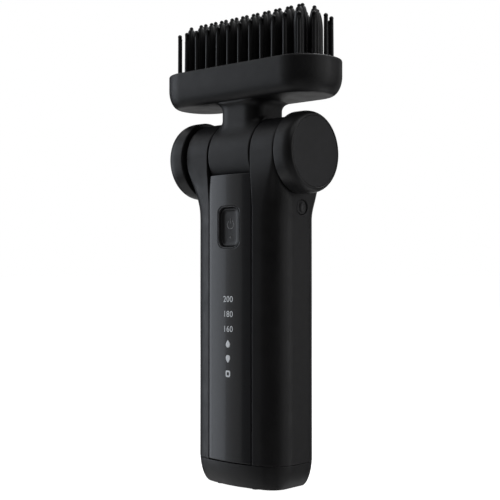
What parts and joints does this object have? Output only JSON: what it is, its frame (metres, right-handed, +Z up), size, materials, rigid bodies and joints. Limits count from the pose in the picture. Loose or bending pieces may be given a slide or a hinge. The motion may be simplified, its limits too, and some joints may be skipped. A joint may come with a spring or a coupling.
{
  "type": "cordless folding heated pin brush",
  "caption": "Slim cordless handle with a glossy control strip, a side-knobbed tilting hinge and a stadium-shaped bristle head of tapered pegs ringed by thin pins.",
  "frame": {"origin": "middle of the base, on the surface the feet stand on", "axes": "+Z up along the handle to the bristles, +X along the hinge axis to the right-hand knob seen from the front, -Y towards the front panel"},
  "size_m": [0.085, 0.033, 0.1952],
  "materials": {
    "shell_black": "fine matte texture",
    "knob_face": "satin",
    "panel_gloss": "high gloss",
    "button_black": "satin",
    "lens": "clear, lit white",
    "white_plastic": "matte",
    "led": "moulded lens",
    "circuit_board": "solder mask",
    "screw_steel": "zinc plated",
    "spring_steel": "bright drawn",
    "plated_steel": "nickel plated",
    "cell_wrap": "printed shrink sleeve on the can",
    "inner_plastic": "moulded",
    "bush_plastic": "acetal",
    "lead_sleeve": "silicone sleeve",
    "pad_rubber": "matte",
    "heater_ceramic": "unglazed ceramic",
    "clamp_aluminium": "mill finish",
    "film": "polyimide film",
    "comb_coated": "black coated",
    "bristle_black": "moulded nylon",
    "sensor_body": "moulded"
  },
  "bodies": {
    "handle": {"rear_shell": "shell_black", "front_panel": "panel_gloss", "bottom_cap": "shell_black", "base_feet": "pad_rubber", "cap_screws": "screw_steel", "button_frame": "button_black", "indicator_windows": "lens", "light_guide": "white_plastic", "main_board": "circuit_board", "board_screws": "screw_steel", "status_leds": "led", "tact_switch": "plated_steel", "battery_cell_left": "cell_wrap", "battery_cell_right": "cell_wrap", "battery_cradle": "inner_plastic", "battery_straps": "plated_steel", "battery_leads": "lead_sleeve", "charge_board": "circuit_board", "charge_port": "plated_steel", "hinge_bush_left": "bush_plastic", "hinge_bush_right": "bush_plastic", "shoe_guide": "inner_plastic", "guide_screws": "screw_steel", "heater_leads_lower": "lead_sleeve", "release_spring": "spring_steel", "shoe_spring": "spring_steel"},
    "head": {"hinge_barrel": "shell_black", "hinge_shaft": "plated_steel", "thrust_washers": "spring_steel", "hinge_knob_left": "shell_black", "hinge_knob_right": "shell_black", "knob_cap_left": "knob_face", "knob_cap_right": "knob_face", "knob_screws": "screw_steel", "head_tray": "shell_black", "neck_screws": "screw_steel", "clamp_plate": "clamp_aluminium", "ptc_heater": "heater_ceramic", "insulation_film": "film", "comb_plate": "comb_coated", "peg_tips": "bristle_black", "clamp_screws": "screw_steel", "thermistor": "sensor_body", "thermal_fuse": "sensor_body", "heater_leads_upper": "lead_sleeve", "bristle_deck": "bristle_black", "outer_bristles": "bristle_black"},
    "power_button": {"power_button": "button_black", "switch_plunger": "white_plastic"},
    "release_button": {"release_button": "button_black"},
    "brake_shoe": {"brake_shoe": "inner_plastic", "shoe_pad": "pad_rubber"}
  },
  "joints": [
    {"name": "head_tilt", "type": "hinge", "parent": "handle", "child": "head", "pos_m": [0, 0, 0.135], "axis": [1, 0, 0], "range_deg": [-75, 75]},
    {"name": "power_press", "type": "slide", "parent": "handle", "child": "power_button", "axis": [0, 1, 0], "range_m": [0, 0.0008], "stiffness_N_per_m": 1500},
    {"name": "release_press", "type": "slide", "parent": "handle", "child": "release_button", "axis": [-1, 0, 0], "range_m": [0, 0.0015], "stiffness_N_per_m": 1200, "deforming": ["release_spring"]},
    {"name": "shoe_drop", "type": "slide", "parent": "handle", "child": "brake_shoe", "axis": [0, 0, -1], "range_m": [0, 0.0009], "stiffness_N_per_m": 1500, "deforming": ["shoe_spring"]}
  ],
  "couplings": [
    {"joint": "shoe_drop", "follows": "release_press", "ratio": 0.6}
  ]
}
